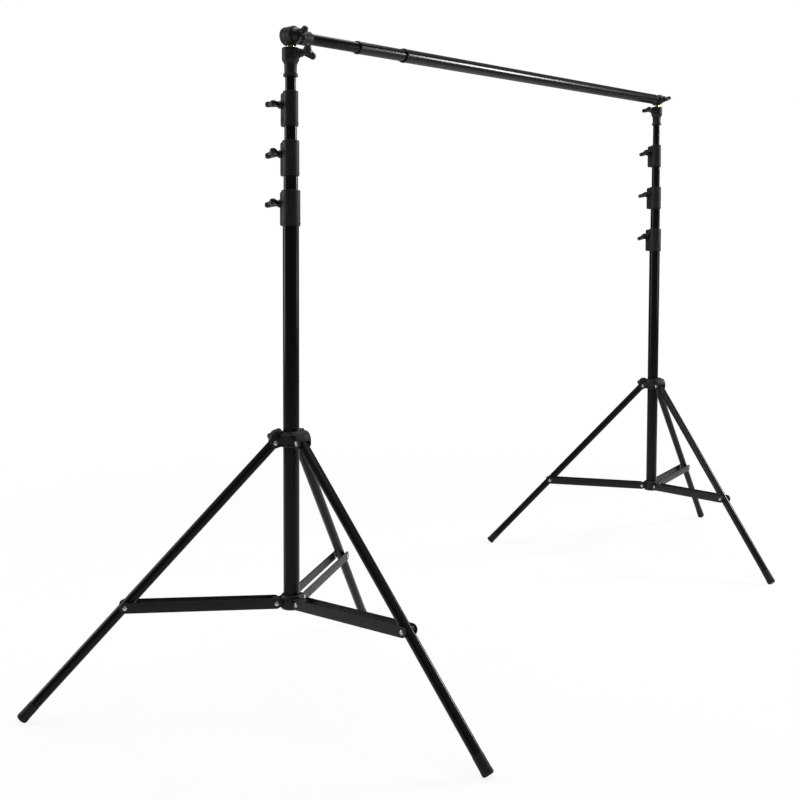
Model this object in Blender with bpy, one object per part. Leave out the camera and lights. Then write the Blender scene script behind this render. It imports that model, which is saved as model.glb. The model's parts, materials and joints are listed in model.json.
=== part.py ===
"""Portable backdrop stand: two folding light stands that carry a three section telescopic crossbar.

Metres, +Z up, +X from the left stand to the right one. The origin is on the floor, under the middle of
the object's bounding box. Each stand's own height runs up its mast from the floor.
"""

import math

import bmesh
import bpy
import numpy as np
from mathutils import Matrix, Vector

# Where the two masts stand, and how each stand is turned about its mast
MAST_SPACING = 1.780
LEFT_X = -0.942
MAST_Y = 0.0486
LEFT_TURN = math.radians(143.9)
RIGHT_TURN = math.radians(125.1)

# Masts: four round tubes, one inside the other, each a little way out of its lock collar
SECTION_RADII = (0.0175, 0.0155, 0.0135, 0.0115)
WALL = 0.0015
SECTION_LENGTH = 0.900
COLLAR_HEIGHTS = (0.076, 0.075, 0.074)
FIRST_COLLAR_BOTTOM = 1.0215
COLLAR_OVER_TUBE = 0.066
LEFT_GAP = 0.030
RIGHT_GAP = 0.068
MAST_SIDES = 18
SPIGOT_SIDES = 12

# Lock collars: a split sleeve with two flat ears, a wing knob above and a fixed bolt below
COLLAR_WALL = 0.0028
COLLAR_EDGE = 0.0025
EAR_REACH = 0.016
EAR_HALF_WIDTH = 0.0075
EAR_CORNER = 0.005
SLIT_HALF_WIDTH = 0.0014
KNOB_HEIGHT_SHARE = 0.64
BOLT_HEIGHT_SHARE = 0.22
BOSS_HEIGHT = 0.003
COLLAR_TURN = math.radians(72.7)

# Wing knobs: a turned hub with a threaded stud, and two wings with round ends
KNOB_LENGTH = 0.0305
WING_REACH = 0.019
WING_THICKNESS = 0.0084
WING_END_RADIUS = 0.0072
BRACKET_WING_REACH = 0.0165
BRACKET_HUB_LENGTH = 0.013
BRACKET_HUB_END = 0.0118
STUD_RADIUS = 0.0030
STUD_HOLE_RADIUS = 0.0034
FIT = 0.0003

# Tripod: leg collar, legs, braces and hub
LEG_ANGLE = math.radians(43.42)
LEG_LENGTH = 0.760
LEG_RADIUS = 0.011
LEG_PIVOT_RADIUS = 0.036
BRACE_PIN_DISTANCE = 0.4585
HUB_PIVOT_RADIUS = 0.035
HUB_PIVOT_HEIGHT = 0.2115
FOOT_RADIUS = 0.0120
FOOT_EDGE = 0.0025
FOOT_LENGTH = 0.040
LEG_PIVOT_HEIGHT = (FOOT_RADIUS - FOOT_EDGE) * math.sin(LEG_ANGLE) + LEG_LENGTH * math.cos(LEG_ANGLE)
EAR_GAP = LEG_RADIUS + 0.0006
EAR_OUTSIDE = EAR_GAP + 0.0048
STRAP_WIDTH = 0.022
STRAP_THICKNESS = 0.0025
STRAP_INSIDE = 0.0146
LUG_HALF_WIDTH = 0.0108
RIVET_HEAD_RADIUS = 0.0052
RIVET_HEAD_HEIGHT = 0.0020
LEG_COLLAR_TOP = 0.028
SLEEVE_RADIUS = 0.0245

# Top socket and spigot, measured up from the socket's lower ring
RING_TOP = 0.007
NECK_TOP = 0.029
CUP_BOTTOM = 0.035
SOCKET_TOP = 0.060
SOCKET_RADIUS = 0.0185
NECK_RADIUS = 0.0132
RING_RADIUS = 0.0156
SPIGOT_RADIUS = 0.008
SPIGOT_REACH = 0.0105
LEFT_SOCKET_TURN = math.radians(-80)
RIGHT_SOCKET_TURN = math.radians(163)

# Crossbar and its end brackets, whose barrels differ: the foot of each is so far below its tilt axis
BAR_ABOVE_SOCKET = 0.0255
BARREL_RADII = (0.0195, 0.0162)
BARREL_FEET = (0.0200, 0.0180)
BARREL_HALF_WIDTH = 0.0155
BARREL_EDGE = 0.0030
TONGUE_RADIUS = 0.0130
TONGUE_HALF_WIDTH = 0.0064
BAR_RADII = (0.012, 0.014, 0.016)
BAR_LENGTH = 1.372
BAR_STARTS = (0.030, 0.213, 0.382)
BEAD_LENGTH = 0.009
BEAD_HEIGHT = 0.0009

RAISE = 3 * (RIGHT_GAP - LEFT_GAP)
BAR_SLOPE = math.atan2(RAISE, MAST_SPACING)


def finished(mesh):
    """The mesh with coincident points merged and its faces turned outwards."""
    work = bmesh.new()
    work.from_mesh(mesh)
    bmesh.ops.remove_doubles(work, verts=work.verts, dist=1e-6)
    bmesh.ops.recalc_face_normals(work, faces=work.faces)
    work.to_mesh(mesh)
    work.free()
    return mesh


def turned(profile, sides, hollow=False):
    """A profile of (radius, height) points spun about Z. A hollow one is a closed outline off the axis."""
    mesh = bpy.data.meshes.new("turned")
    angles = 2 * math.pi * np.arange(sides) / sides
    points = [(r * math.cos(a), r * math.sin(a), z) for r, z in profile for a in angles]
    rows = len(profile)
    faces = []
    for row in range(rows if hollow else rows - 1):
        below = (row + 1) % rows
        for side in range(sides):
            beside = (side + 1) % sides
            faces.append((row * sides + side, row * sides + beside, below * sides + beside, below * sides + side))
    mesh.from_pydata(points, [], faces)
    return finished(mesh)


def pipe(radius, bore, bottom, top, sides=MAST_SIDES):
    return turned([(radius, top), (radius, bottom), (bore, bottom), (bore, top)], sides, hollow=True)


def rod(radius, bottom, top, sides=8):
    return turned([(0, top), (radius, top), (radius, bottom), (0, bottom)], sides)


def cone(bottom_radius, top_radius, bottom, top, sides=10):
    return turned([(0, top), (top_radius, top), (bottom_radius, bottom), (0, bottom)], sides)


def plate(outline, low, high):
    """A flat outline in X and Z, given thickness along Y from low to high."""
    mesh = bpy.data.meshes.new("plate")
    count = len(outline)
    points = [(x, y, z) for y in (low, high) for x, z in outline]
    faces = [tuple(range(count)), tuple(range(2 * count - 1, count - 1, -1))]
    for at in range(count):
        after = (at + 1) % count
        faces.append((at, after, count + after, count + at))
    mesh.from_pydata(points, [], faces)
    return finished(mesh)


def arc(x, z, radius, start, end, steps):
    """Points on an arc, with the angles in degrees from +X towards +Z."""
    angles = np.radians(np.linspace(start, end, steps + 1))
    return [(x + radius * math.cos(a), z + radius * math.sin(a)) for a in angles]


def rounded_box(x0, x1, z0, z1, corner, steps=3):
    """A rectangle in X and Z with round corners."""
    centres = ((x1 - corner, z1 - corner), (x0 + corner, z1 - corner), (x0 + corner, z0 + corner), (x1 - corner, z0 + corner))
    outline = []
    for quarter, (x, z) in enumerate(centres):
        outline += arc(x, z, corner, 90 * quarter, 90 * quarter + 90, steps)
    return outline


def moved(mesh, matrix):
    mesh.transform(matrix)
    return finished(mesh)


def along_y(mesh, y=0.0, x=0.0, z=0.0):
    """Turns a shape that was spun about Z so that its +Z end faces +Y."""
    return moved(mesh, Matrix.Translation((x, y, z)) @ Matrix.Rotation(math.radians(-90), 4, "X"))


def along_x(mesh, x=0.0, y=0.0, z=0.0):
    return moved(mesh, Matrix.Translation((x, y, z)) @ Matrix.Rotation(math.radians(90), 4, "Y"))


def shaped(base, joined=(), cut=()):
    """One mesh made of the base, with the joined meshes added and then the cut meshes taken away."""
    helpers = [bpy.data.objects.new("shaping", base)]
    for operation, meshes in (("UNION", joined), ("DIFFERENCE", cut)):
        for mesh in meshes:
            tool = bpy.data.objects.new("tool", mesh)
            tool.hide_render = True
            tool.display_type = "WIRE"
            modifier = helpers[0].modifiers.new("shape", "BOOLEAN")
            modifier.operation = operation
            modifier.object = tool
            helpers.append(tool)
    for helper in helpers:
        bpy.context.scene.collection.objects.link(helper)
    bpy.context.view_layer.update()
    graph = bpy.context.evaluated_depsgraph_get()
    result = bpy.data.meshes.new_from_object(helpers[0].evaluated_get(graph))
    for helper in helpers:
        bpy.data.objects.remove(helper)
    return finished(result)


def material(name, colour, roughness, metallic):
    made = bpy.data.materials.new(name)
    made.use_nodes = True
    shader = made.node_tree.nodes["Principled BSDF"]
    shader.inputs["Base Color"].default_value = (*colour, 1)
    shader.inputs["Roughness"].default_value = roughness
    shader.inputs["Metallic"].default_value = metallic
    return made


def piece(name, mesh, finish, matrix, parent):
    """A named sub-part with its origin at the matrix, which is given in world space."""
    made = bpy.data.objects.new(name, mesh.copy())
    made.data.name = name
    made.data.materials.clear()
    made.data.materials.append(finish)
    made.data.shade_smooth()
    made.data.set_sharp_from_angle(angle=math.radians(35))
    bpy.context.scene.collection.objects.link(made)
    made.parent = parent
    made.matrix_world = matrix
    return made


def empty(name, matrix, parent=None):
    made = bpy.data.objects.new(name, None)
    bpy.context.scene.collection.objects.link(made)
    made.parent = parent
    made.matrix_world = matrix
    bpy.context.view_layer.update()
    return made


def wings(reach, root):
    """Two wings in the X and Z plane. Each leaves the hub at the root's height and ends in a round lobe."""
    lobe = arc(reach - WING_END_RADIUS, KNOB_LENGTH - WING_END_RADIUS, WING_END_RADIUS, -55, 125, 5)
    half = [(0.0050, root)] + lobe + [(0.0040, KNOB_LENGTH * 0.68)]
    return plate(half + [(-x, z) for x, z in reversed(half)], -WING_THICKNESS / 2, WING_THICKNESS / 2)


def wing_knob(stud_length):
    """Spun hub on a stud, with two wings that sweep out and away from it. It points along +Z."""
    hub = [
        (0, KNOB_LENGTH * 0.76),
        (0.0058, KNOB_LENGTH * 0.73),
        (0.0060, KNOB_LENGTH * 0.30),
        (0.0088, KNOB_LENGTH * 0.09),
        (0.0088, 0),
        (STUD_RADIUS, 0),
        (STUD_RADIUS, -stud_length),
        (0, -stud_length),
    ]
    return shaped(turned(hub, 8), [wings(WING_REACH, KNOB_LENGTH * 0.18)])


def bracket_knob(stud_length, foot_radius):
    """Broad conical hub on a stud, with two shorter wings beyond it. It points along +Z."""
    hub = [
        (0, KNOB_LENGTH * 0.76),
        (0.0058, KNOB_LENGTH * 0.73),
        (0.0062, BRACKET_HUB_LENGTH + 0.0022),
        (BRACKET_HUB_END * foot_radius / (BARREL_RADII[0] - BARREL_EDGE), BRACKET_HUB_LENGTH),
        (foot_radius, 0.0015),
        (foot_radius - 0.0008, 0),
        (STUD_RADIUS, 0),
        (STUD_RADIUS, -stud_length),
        (0, -stud_length),
    ]
    return shaped(turned(hub, 10), [wings(BRACKET_WING_REACH, BRACKET_HUB_LENGTH - 0.0015)])


def lock_collar(stage):
    """Sleeve on the upper end of one section, bored small above it for the next, split and eared on +X."""
    height = COLLAR_HEIGHTS[stage]
    outside = SECTION_RADII[stage] + COLLAR_WALL
    grip = SECTION_RADII[stage] + FIT
    guide = SECTION_RADII[stage + 1] + FIT
    shoulder = COLLAR_OVER_TUBE + FIT
    sleeve = [
        (outside - COLLAR_EDGE, height),
        (outside, height - COLLAR_EDGE),
        (outside, 0),
        (grip, 0),
        (grip, shoulder),
        (guide, shoulder),
        (guide, height),
    ]
    ear_end = outside + EAR_REACH
    ear = plate(
        rounded_box(grip + FIT, ear_end, 0.001, height - 0.001, EAR_CORNER, 2),
        -EAR_HALF_WIDTH,
        EAR_HALF_WIDTH,
    )
    knob_x, knob_z = collar_stud(stage)
    bolt_z = height * BOLT_HEIGHT_SHARE
    face = EAR_HALF_WIDTH - 0.001
    bosses = [
        along_y(cone(0.0092, 0.0086, 0, BOSS_HEIGHT + 0.001), face, knob_x, knob_z),
        along_y(cone(0.0056, 0.0044, 0, BOSS_HEIGHT + 0.001, 8), face, knob_x, bolt_z),
        along_y(rod(0.0060, -face - 0.0035, -face, 6), 0, knob_x, knob_z),
        along_y(rod(0.0045, -face - 0.0030, -face, 6), 0, knob_x, bolt_z),
    ]
    slit = plate([(0, -0.01), (0.08, -0.01), (0.08, 0.1), (0, 0.1)], -SLIT_HALF_WIDTH, SLIT_HALF_WIDTH)
    hole = along_y(rod(STUD_HOLE_RADIUS, -0.05, 0.05), 0, knob_x, knob_z)
    return shaped(turned(sleeve, MAST_SIDES, hollow=True), [ear] + bosses, [slit, hole])


def collar_stud(stage):
    """Where the wing knob's stud crosses the ears, out from the mast and up from the collar's foot."""
    out = SECTION_RADII[stage] + COLLAR_WALL + EAR_REACH * 0.48
    return out, COLLAR_HEIGHTS[stage] * KNOB_HEIGHT_SHARE


def leg_collar():
    """Sliding sleeve with three hoods. Each hood's two cheeks hold a leg between them."""
    bore = SECTION_RADII[0] + FIT
    sleeve = [
        (SLEEVE_RADIUS - 0.003, LEG_COLLAR_TOP),
        (SLEEVE_RADIUS, LEG_COLLAR_TOP - 0.006),
        (0.0320, 0.020),
        (0.0340, 0.014),
        (0.0270, 0),
        (0.0240, -0.010),
        (bore, -0.010),
        (bore, LEG_COLLAR_TOP),
    ]
    hood = arc(LEG_PIVOT_RADIUS, 0, 0.0115, -120, 0, 3) + [
        (0.0475, 0.012),
        (0.0440, 0.021),
        (0.0360, 0.0265),
        (0.0190, 0.0265),
        (0.0190, -0.009),
    ]
    slot = [(0.0600, 0.0130), (0.0600, -0.0300), (0.0230, -0.0300)]
    slot += arc(LEG_PIVOT_RADIUS, 0, 0.0130, 180, 90, 3)
    hoods = []
    cuts = []
    for leg in range(3):
        around = Matrix.Rotation(leg * 2 * math.pi / 3, 4, "Z")
        hoods.append(moved(plate(hood, -EAR_OUTSIDE, EAR_OUTSIDE), around))
        cuts.append(moved(plate(slot, -EAR_GAP, EAR_GAP), around))
        cuts.append(moved(along_y(rod(STUD_HOLE_RADIUS, -0.03, 0.03), 0, LEG_PIVOT_RADIUS, 0), around))
    boss = moved(along_x(cone(0.0100, 0.0090, 0.018, 0.034)), knob_side(0.012))
    cuts.append(rod(bore, -0.05, 0.05, MAST_SIDES))
    cuts.append(moved(along_x(rod(STUD_HOLE_RADIUS, 0.010, 0.050)), knob_side(0.012)))
    return shaped(turned(sleeve, MAST_SIDES, hollow=True), hoods + [boss], cuts)


def knob_side(height):
    """Half way round between the first leg and the third, at a height."""
    return Matrix.Translation((0, 0, height)) @ Matrix.Rotation(math.radians(-60), 4, "Z")


def hub():
    """Cup on the foot of the mast with three lugs for the braces."""
    bore = SECTION_RADII[0] + FIT
    cup = [
        (0.0205, 0.016),
        (0.0240, 0.010),
        (0.0240, -0.013),
        (0.0215, -0.016),
        (0.0100, -0.016),
        (0.0100, -0.012),
        (bore, -0.012),
        (bore, 0.016),
    ]
    lug = arc(HUB_PIVOT_RADIUS, 0, 0.0095, -90, 90, 4) + [(0.0200, 0.0095), (0.0200, -0.0095)]
    lugs = []
    cuts = [rod(bore, -0.012, 0.05, MAST_SIDES)]
    for leg in range(3):
        around = Matrix.Rotation(leg * 2 * math.pi / 3, 4, "Z")
        lugs.append(moved(plate(lug, -LUG_HALF_WIDTH, LUG_HALF_WIDTH), around))
        cuts.append(moved(along_y(rod(STUD_HOLE_RADIUS, -0.03, 0.03), 0, HUB_PIVOT_RADIUS, 0), around))
    return shaped(turned(cup, MAST_SIDES, hollow=True), lugs, cuts)


def rivet(inside):
    """A pin along Y with a domed head beyond each inside face."""
    head = [
        (0, inside + RIVET_HEAD_HEIGHT),
        (RIVET_HEAD_RADIUS * 0.6, inside + RIVET_HEAD_HEIGHT * 0.85),
        (RIVET_HEAD_RADIUS, inside + FIT),
        (STUD_RADIUS, inside + FIT),
    ]
    return along_y(turned(head + [(r, -z) for r, z in reversed(head)], 8))


def leg():
    """Tube with a round plugged top about its pivot, hanging along -Z, and its rivet."""
    bore = LEG_RADIUS - WALL
    end = -(LEG_LENGTH - 0.005)
    top = arc(0, 0, LEG_RADIUS, 90, 0, 2)
    top[0] = (0, LEG_RADIUS)
    tube = turned(top + [(LEG_RADIUS, end), (bore, end), (bore, -0.020), (0, -0.020)], 12)
    return shaped(tube, [rivet(EAR_OUTSIDE)])


def foot():
    """Cap over the lower end of a leg, flat below with a worked edge, measured from the leg's pivot."""
    top = -(LEG_LENGTH - FOOT_LENGTH)
    bore = LEG_RADIUS + FIT
    floor = -(LEG_LENGTH - 0.005) - FIT
    inside = [(0, floor), (bore, floor), (bore, top)]
    outside = [
        (FOOT_RADIUS - 0.0003, top),
        (FOOT_RADIUS - 0.0003, -LEG_LENGTH + 0.012),
        (FOOT_RADIUS, -LEG_LENGTH + 0.009),
        (FOOT_RADIUS, -LEG_LENGTH + FOOT_EDGE),
        (FOOT_RADIUS - FOOT_EDGE, -LEG_LENGTH),
        (0, -LEG_LENGTH),
    ]
    return turned(inside + outside, 12)


def brace_length():
    across = LEG_PIVOT_RADIUS + BRACE_PIN_DISTANCE * math.sin(LEG_ANGLE) - HUB_PIVOT_RADIUS
    up = LEG_PIVOT_HEIGHT - BRACE_PIN_DISTANCE * math.cos(LEG_ANGLE) - HUB_PIVOT_HEIGHT
    return math.hypot(across, up), math.atan2(up, across)


def brace():
    """Two straps with round ends, riveted through the hub's lug. Their far ends lie beside the leg."""
    length = brace_length()[0]
    strap = arc(length, 0, STRAP_WIDTH / 2, -90, 90, 4) + arc(0, 0, STRAP_WIDTH / 2, 90, 270, 4)
    outside = STRAP_INSIDE + STRAP_THICKNESS
    straps = [plate(strap, side * STRAP_INSIDE, side * outside) for side in (-1, 1)]
    heads = [(0, outside + RIVET_HEAD_HEIGHT), (RIVET_HEAD_RADIUS * 0.6, outside + RIVET_HEAD_HEIGHT * 0.85)]
    heads += [(RIVET_HEAD_RADIUS, outside - 0.0005), (0, outside - 0.0005)]
    joined = [straps[1]]
    for side in (-1, 1):
        profile = heads if side > 0 else [(r, -z) for r, z in reversed(heads)]
        joined.append(along_y(turned(profile, 8), 0, length, 0))
    pin = [(r, z) for r, z in heads[:2]] + [(RIVET_HEAD_RADIUS, outside - 0.0005), (STUD_RADIUS, outside - 0.0005)]
    joined.append(along_y(turned(pin + [(r, -z) for r, z in reversed(pin)], 8)))
    return shaped(straps[0], joined)


def socket():
    """Head of the mast: ring, neck over the top tube, then a thick cup for the spigot, with a boss on +X."""
    tube = SECTION_RADII[3] + FIT
    cup = SPIGOT_RADIUS + FIT
    body = [
        (SOCKET_RADIUS - 0.002, SOCKET_TOP),
        (SOCKET_RADIUS, SOCKET_TOP - 0.002),
        (SOCKET_RADIUS, CUP_BOTTOM),
        (NECK_RADIUS, NECK_TOP - 0.004),
        (NECK_RADIUS, RING_TOP),
        (RING_RADIUS, RING_TOP - 0.001),
        (RING_RADIUS, 0.001),
        (RING_RADIUS - 0.001, 0),
        (0, 0),
    ]
    boss = along_x(cone(0.0125, 0.0085, 0.010, 0.026), z=(CUP_BOTTOM + SOCKET_TOP) / 2)
    cuts = [
        rod(tube, -0.01, NECK_TOP, MAST_SIDES),
        rod(cup, CUP_BOTTOM - 0.001, 0.1, SPIGOT_SIDES),
        along_x(rod(STUD_HOLE_RADIUS, 0.002, 0.05), z=(CUP_BOTTOM + SOCKET_TOP) / 2),
    ]
    return shaped(turned([(0, SOCKET_TOP)] + body, MAST_SIDES), [boss], cuts)


def spigot():
    """Brass stud with a waist that the socket's screw bites on, measured up from the socket's ring."""
    bottom = CUP_BOTTOM
    top = SOCKET_TOP + SPIGOT_REACH
    middle = (CUP_BOTTOM + SOCKET_TOP) / 2
    outline = [
        (0, top),
        (SPIGOT_RADIUS, top),
        (SPIGOT_RADIUS, middle + 0.007),
        (SPIGOT_RADIUS - 0.0015, middle + 0.005),
        (SPIGOT_RADIUS - 0.0015, middle - 0.005),
        (SPIGOT_RADIUS, middle - 0.007),
        (SPIGOT_RADIUS, bottom + 0.001),
        (SPIGOT_RADIUS - 0.001, bottom),
        (0, bottom),
    ]
    return turned(outline, SPIGOT_SIDES)


def bracket(radius, foot):
    """Round barrel on the spigot with a pocket that opens to +X, where the bar's tongue tilts."""
    barrel_profile = [
        (0, BARREL_HALF_WIDTH),
        (radius - BARREL_EDGE, BARREL_HALF_WIDTH),
        (radius, BARREL_HALF_WIDTH - BARREL_EDGE),
    ]
    barrel = along_y(turned(barrel_profile + [(r, -z) for r, z in reversed(barrel_profile)], MAST_SIDES))
    skirt = cone(radius * 0.64, radius * 0.77, -foot, -0.008, MAST_SIDES)
    nut = along_y(rod(0.0062, BARREL_HALF_WIDTH - 0.001, BARREL_HALF_WIDTH + 0.003, 6))
    room = TONGUE_RADIUS + 0.0006
    pocket = arc(0, 0, room, 90, 270, 6) + [(0.040, -room), (0.040, room)]
    side = TONGUE_HALF_WIDTH + FIT
    cuts = [
        plate(pocket, -side, side),
        along_y(rod(STUD_HOLE_RADIUS, -0.05, 0.05)),
        rod(SPIGOT_RADIUS + FIT, -0.04, SPIGOT_REACH - BAR_ABOVE_SOCKET + FIT, SPIGOT_SIDES),
    ]
    return shaped(barrel, [skirt, nut], cuts)


def tongue():
    """Flat eye about the tilt axis with a neck that leaves along +X."""
    outline = arc(0, 0, TONGUE_RADIUS, 45, 315, 8) + [(0.026, -0.0085), (0.026, 0.0085)]
    return plate(outline, -TONGUE_HALF_WIDTH, TONGUE_HALF_WIDTH)


def left_bar_end():
    """Tongue with a cup over the outside of the thin tube."""
    outside = BAR_RADII[0] + 0.0035
    start = 0.0235
    cup = turned(
        [(0, 0.056), (outside - 0.001, 0.056), (outside, 0.055), (outside, start + 0.003), (0.0110, start), (0, start)],
        MAST_SIDES,
    )
    eye = along_y(rod(STUD_HOLE_RADIUS, -0.05, 0.05))
    bore = along_x(rod(BAR_RADII[0] + FIT, BAR_STARTS[0] - FIT, 0.1, MAST_SIDES))
    return shaped(tongue(), [along_x(cup)], [eye, bore])


def right_bar_end():
    """Tongue with a flange and a plug that goes inside the thick tube."""
    inside = BAR_RADII[2] - WALL - FIT
    start = 0.0235
    flange_end = 0.0290
    plug = turned(
        [(0, 0.060), (inside - 0.001, 0.060), (inside, 0.059), (inside, flange_end), (0.0165, flange_end)]
        + [(0.0165, start + 0.001), (0.0150, start), (0, start)],
        MAST_SIDES,
    )
    eye = along_y(rod(STUD_HOLE_RADIUS, -0.05, 0.05))
    return shaped(tongue(), [along_x(plug)], [eye])


def bar_tube(section):
    """One tube of the crossbar along +X, with a bead rolled round the end where the thinner one enters."""
    radius = BAR_RADII[section]
    bore = radius - WALL
    start = BAR_STARTS[section]
    end = start + BAR_LENGTH
    if section == 0:
        return along_x(pipe(radius, bore, start, end))
    raised = radius + BEAD_HEIGHT
    outline = [(radius, end), (radius, start + BEAD_LENGTH), (raised, start + BEAD_LENGTH - 0.001)]
    outline += [(raised, start + 0.001), (radius, start), (bore, start), (bore, end)]
    return along_x(turned(outline, MAST_SIDES, hollow=True))


def mast(side, place, gap, socket_turn, wing_turns, shapes, finishes):
    """The tubes, lock collars and knobs of one mast, and the socket, spigot and bracket above it."""
    tube_black, cast_black, knob_black, brass = finishes
    tube_bottom = HUB_PIVOT_HEIGHT - 0.012 + FIT
    collar_bottom = FIRST_COLLAR_BOTTOM
    turn = Matrix.Rotation(COLLAR_TURN, 4, "Z")
    for stage in range(4):
        if stage:
            tube_bottom = collar_bottom + COLLAR_OVER_TUBE - SECTION_LENGTH
        if stage == 3:
            top = collar_bottom + NECK_TOP - FIT
            tube_bottom = top - SECTION_LENGTH
        else:
            top = collar_bottom + COLLAR_OVER_TUBE
        shape = pipe(SECTION_RADII[stage], SECTION_RADII[stage] - WALL, tube_bottom, top)
        piece(f"{side}_mast_tube_{stage + 1}", shape, tube_black, place, None)
        if stage == 3:
            break
        seat = place @ Matrix.Translation((0, 0, collar_bottom)) @ turn
        piece(f"{side}_lock_collar_{stage + 1}", shapes["collars"][stage], cast_black, seat, None)
        knob_x, knob_z = collar_stud(stage)
        outward = Matrix.Translation((knob_x, EAR_HALF_WIDTH + BOSS_HEIGHT + FIT, knob_z))
        outward = outward @ Matrix.Rotation(math.radians(-90), 4, "X") @ Matrix.Rotation(wing_turns[stage], 4, "Z")
        piece(f"{side}_lock_knob_{stage + 1}", shapes["knob"], knob_black, seat @ outward, None)
        collar_bottom += COLLAR_HEIGHTS[stage] + gap
    head = place @ Matrix.Translation((0, 0, collar_bottom))
    piece(f"{side}_socket", shapes["socket"], cast_black, head @ Matrix.Rotation(socket_turn, 4, "Z"), None)
    boss_end = Matrix.Translation((0.026 + FIT, 0, (CUP_BOTTOM + SOCKET_TOP) / 2))
    outward = Matrix.Rotation(socket_turn, 4, "Z") @ boss_end @ Matrix.Rotation(math.radians(90), 4, "Y")
    outward = outward @ Matrix.Rotation(wing_turns[3], 4, "Z")
    piece(f"{side}_socket_knob", shapes["socket_knob"], knob_black, head @ outward, None)
    piece(f"{side}_spigot", shapes["spigot"], brass, head, None)
    return head @ Matrix.Translation((0, 0, SOCKET_TOP + BAR_ABOVE_SOCKET))


def tripod(side, place, turn, shapes, finishes):
    """Leg collar, hub, legs, feet and braces of one stand, spread as they stand on the floor."""
    tube_black, cast_black, knob_black, rubber = finishes
    turned_place = place @ Matrix.Rotation(turn, 4, "Z")
    sliding = turned_place @ Matrix.Translation((0, 0, LEG_PIVOT_HEIGHT))
    piece(f"{side}_leg_collar", shapes["leg_collar"], cast_black, sliding, None)
    seat = sliding @ knob_side(0.012) @ Matrix.Translation((0.034 + FIT, 0, 0))
    seat = seat @ Matrix.Rotation(math.radians(90), 4, "Y") @ Matrix.Rotation(math.radians(70), 4, "Z")
    piece(f"{side}_leg_collar_knob", shapes["leg_collar_knob"], knob_black, seat, None)
    low = turned_place @ Matrix.Translation((0, 0, HUB_PIVOT_HEIGHT))
    piece(f"{side}_hub", shapes["hub"], cast_black, low, None)
    for number, letter in enumerate("abc"):
        around = Matrix.Rotation(number * 2 * math.pi / 3, 4, "Z")
        hinge = sliding @ around @ Matrix.Translation((LEG_PIVOT_RADIUS, 0, 0))
        hinge = hinge @ Matrix.Rotation(-LEG_ANGLE, 4, "Y")
        piece(f"{side}_leg_{letter}", shapes["leg"], tube_black, hinge, None)
        piece(f"{side}_foot_{letter}", shapes["foot"], rubber, hinge, None)
        pin = low @ around @ Matrix.Translation((HUB_PIVOT_RADIUS, 0, 0))
        pin = pin @ Matrix.Rotation(-brace_length()[1], 4, "Y")
        piece(f"{side}_brace_{letter}", shapes["brace"], tube_black, pin, None)


def crossbar(left, right, shapes, finishes):
    """The three tubes between the brackets, with the tongues at their ends and the brackets' knobs."""
    tube_black, cast_black, knob_black = finishes
    mirrored = Matrix.Rotation(math.pi, 4, "Z")
    sloped = left @ Matrix.Rotation(-BAR_SLOPE, 4, "Y")
    piece("left_bracket", shapes["left_bracket"], cast_black, left, None)
    piece("right_bracket", shapes["right_bracket"], cast_black, right, None)
    piece("left_bar_end", left_bar_end(), cast_black, sloped, None)
    piece("right_bar_end", right_bar_end(), cast_black, right @ mirrored @ Matrix.Rotation(BAR_SLOPE, 4, "Y"), None)
    for section, name in enumerate(("bar_inner_tube", "bar_middle_tube", "bar_outer_tube")):
        piece(name, bar_tube(section), tube_black, sloped, None)
    for side, place, wing_turn in (("left", left, 75), ("right", right, 20)):
        seat = place @ Matrix.Translation((0, -BARREL_HALF_WIDTH - FIT, 0)) @ Matrix.Rotation(math.radians(90), 4, "X")
        seat = seat @ Matrix.Rotation(math.radians(wing_turn), 4, "Z")
        piece(f"{side}_bracket_knob", shapes[f"{side}_bracket_knob"], knob_black, seat, None)


def main():
    for old in list(bpy.data.objects):
        bpy.data.objects.remove(old)
    tube_black = material("black anodised tube", (0.018, 0.017, 0.016), 0.32, 0.6)
    cast_black = material("black cast metal", (0.022, 0.022, 0.021), 0.55, 0.2)
    knob_black = material("black moulded knob", (0.012, 0.012, 0.012), 0.45, 0.0)
    rubber = material("black rubber", (0.015, 0.015, 0.015), 0.8, 0.0)
    brass = material("brass", (0.55, 0.42, 0.20), 0.35, 1.0)
    clamp_stud = 2 * BARREL_HALF_WIDTH + 0.002
    shapes = {
        "collars": [lock_collar(stage) for stage in range(3)],
        "knob": wing_knob(2 * EAR_HALF_WIDTH + BOSS_HEIGHT + 0.003),
        "socket": socket(),
        "socket_knob": wing_knob(0.026 - SPIGOT_RADIUS - FIT),
        "spigot": spigot(),
        "left_bracket": bracket(BARREL_RADII[0], BARREL_FEET[0]),
        "right_bracket": moved(bracket(BARREL_RADII[1], BARREL_FEET[1]), Matrix.Scale(-1, 4, (1, 0, 0))),
        "left_bracket_knob": bracket_knob(clamp_stud, BARREL_RADII[0] - BARREL_EDGE),
        "right_bracket_knob": bracket_knob(clamp_stud, BARREL_RADII[1] - BARREL_EDGE),
        "leg_collar": leg_collar(),
        "leg_collar_knob": wing_knob(0.034 - SECTION_RADII[0] - FIT),
        "hub": hub(),
        "leg": leg(),
        "foot": foot(),
        "brace": brace(),
    }
    stands = (
        ("left", LEFT_X, LEFT_TURN, LEFT_GAP, LEFT_SOCKET_TURN, (15, 20, 0, 12)),
        ("right", LEFT_X + MAST_SPACING, RIGHT_TURN, RIGHT_GAP, RIGHT_SOCKET_TURN, (25, 15, 20, 15)),
    )
    heads = {}
    for side, x, turn, gap, socket_turn, wings in stands:
        place = Matrix.Translation((x, MAST_Y, 0))
        wing_turns = [math.radians(angle) for angle in wings]
        heads[side] = mast(side, place, gap, socket_turn, wing_turns, shapes, (tube_black, cast_black, knob_black, brass))
        tripod(side, place, turn, shapes, (tube_black, cast_black, knob_black, rubber))
    crossbar(heads["left"], heads["right"], shapes, (tube_black, cast_black, knob_black))


main()
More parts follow.
